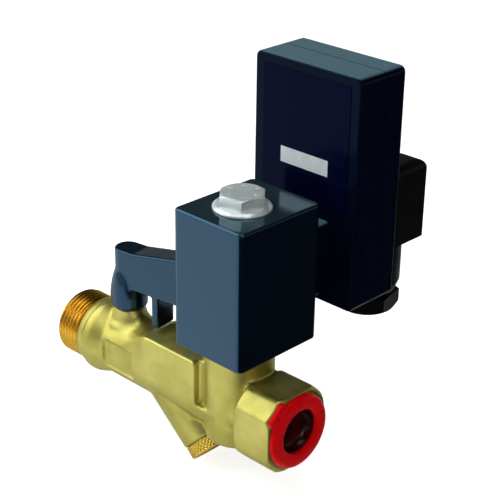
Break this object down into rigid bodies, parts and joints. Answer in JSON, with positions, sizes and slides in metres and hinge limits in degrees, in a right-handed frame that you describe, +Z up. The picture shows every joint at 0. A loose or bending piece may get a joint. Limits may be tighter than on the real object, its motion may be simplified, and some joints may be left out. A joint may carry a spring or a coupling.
{
  "type": "automatic drain valve",
  "caption": "Timer-controlled condensate drain valve: brass body with ball valve lever, strainer branch and capped outlet, black solenoid coil, timer housing and cable plug.",
  "frame": {"origin": "on the pipe axis where the full thread of the inlet starts", "axes": "+X along the pipe from inlet to outlet, +Y from the coil to the timer, +Z up along the solenoid tube"},
  "size_m": [0.1189, 0.1017, 0.1524],
  "materials": {
    "brass": "satin cast and machined",
    "golden_brass": "machined",
    "steel": "bright machined",
    "zinc": "zinc plated",
    "copper": "enamelled",
    "ptfe": "white",
    "rubber": "soft",
    "coil_black": "moulded, semi gloss",
    "timer_black": "fine texture",
    "lever_black": "moulded, gloss",
    "label_dark": "printed film",
    "label_white": "printed film",
    "board": "solder mask",
    "dial_blue": "moulded",
    "bobbin": "glass filled",
    "knob": "moulded",
    "light_red": "clear tinted",
    "light_green": "clear tinted",
    "terminal_grey": "moulded",
    "cap_red": "soft moulded"
  },
  "bodies": {
    "valve": {"valve_body": "brass", "inlet_adapter": "golden_brass", "ball_seat_rings": "ptfe", "stem_packing": "ptfe", "armature_tube": "steel", "tube_seal_ring": "rubber", "fixed_core": "steel", "shading_ring": "copper", "plunger_spring": "steel", "coil_housing": "coil_black", "coil_frame": "steel", "coil_bobbin": "bobbin", "coil_winding": "copper", "coil_contact_blades": "zinc", "coil_washer": "zinc", "coil_nut": "zinc", "timer_front_shell": "timer_black", "timer_rear_shell": "timer_black", "timer_board": "board", "time_setting_dials": "dial_blue", "light_power": "light_green", "light_valve_open": "light_red", "test_switch": "terminal_grey", "test_button_dome": "rubber", "timer_label": "label_dark", "timer_label_field": "label_white", "coil_socket_gasket": "rubber", "timer_coil_contacts": "zinc", "timer_plug_blades": "zinc", "timer_cover_screws": "zinc", "timer_fixing_screw": "zinc", "plug_housing": "timer_black", "plug_gasket": "rubber", "plug_terminal_block": "terminal_grey", "plug_screw": "zinc", "gland_nut": "timer_black", "gland_washer": "ptfe", "gland_grommet": "rubber"},
    "lever_shaft": {"lever_handle": "lever_black", "valve_stem": "brass", "ball": "zinc"},
    "plunger": {"plunger": "steel", "plunger_seal": "rubber"},
    "strainer": {"strainer_screen": "steel"},
    "strainer_plug": {"strainer_plug": "golden_brass", "strainer_plug_ring": "rubber"},
    "knob_on_time": {"knob_on_time": "knob"},
    "knob_off_time": {"knob_off_time": "knob"},
    "test_button": {"test_button": "cap_red"},
    "outlet_cap": {"outlet_cap": "cap_red"}
  },
  "joints": [
    {"name": "lever_turn", "type": "hinge", "parent": "valve", "child": "lever_shaft", "pos_m": [0.0279, 0, 0], "axis": [0, 0, 1], "range_deg": [-8, 82]},
    {"name": "plunger_lift", "type": "slide", "parent": "valve", "child": "plunger", "axis": [0, 0, 1], "range_m": [0, 0.002], "stiffness_N_per_m": 200, "springref_m": -0.004, "deforming": ["plunger_spring"]},
    {"name": "strainer_plug_turn", "type": "hinge", "parent": "strainer", "child": "strainer_plug", "pos_m": [0.0521, 0, 0], "axis": [0.7071, 0, -0.7071], "range_deg": [0, 1710]},
    {"name": "strainer_plug_unscrew", "type": "slide", "parent": "valve", "child": "strainer", "axis": [0.7071, 0, -0.7071], "range_m": [0, 0.007]},
    {"name": "knob_on_turn", "type": "hinge", "parent": "valve", "child": "knob_on_time", "pos_m": [0.0772, 0.05, 0.104], "axis": [0, 1, 0], "range_deg": [-135, 135]},
    {"name": "knob_off_turn", "type": "hinge", "parent": "valve", "child": "knob_off_time", "pos_m": [0.0992, 0.05, 0.104], "axis": [0, 1, 0], "range_deg": [-135, 135]},
    {"name": "test_button_press", "type": "slide", "parent": "valve", "child": "test_button", "axis": [0, -1, 0], "range_m": [0, 0.0012], "stiffness_N_per_m": 400, "springref_m": -0.001, "deforming": ["test_button_dome"]},
    {"name": "outlet_cap_pull", "type": "slide", "parent": "valve", "child": "outlet_cap", "axis": [1, 0, 0], "range_m": [0, 0.06]}
  ],
  "couplings": [
    {"joint": "strainer_plug_turn", "follows": "strainer_plug_unscrew", "rad_per_m": 4188.8}
  ]
}
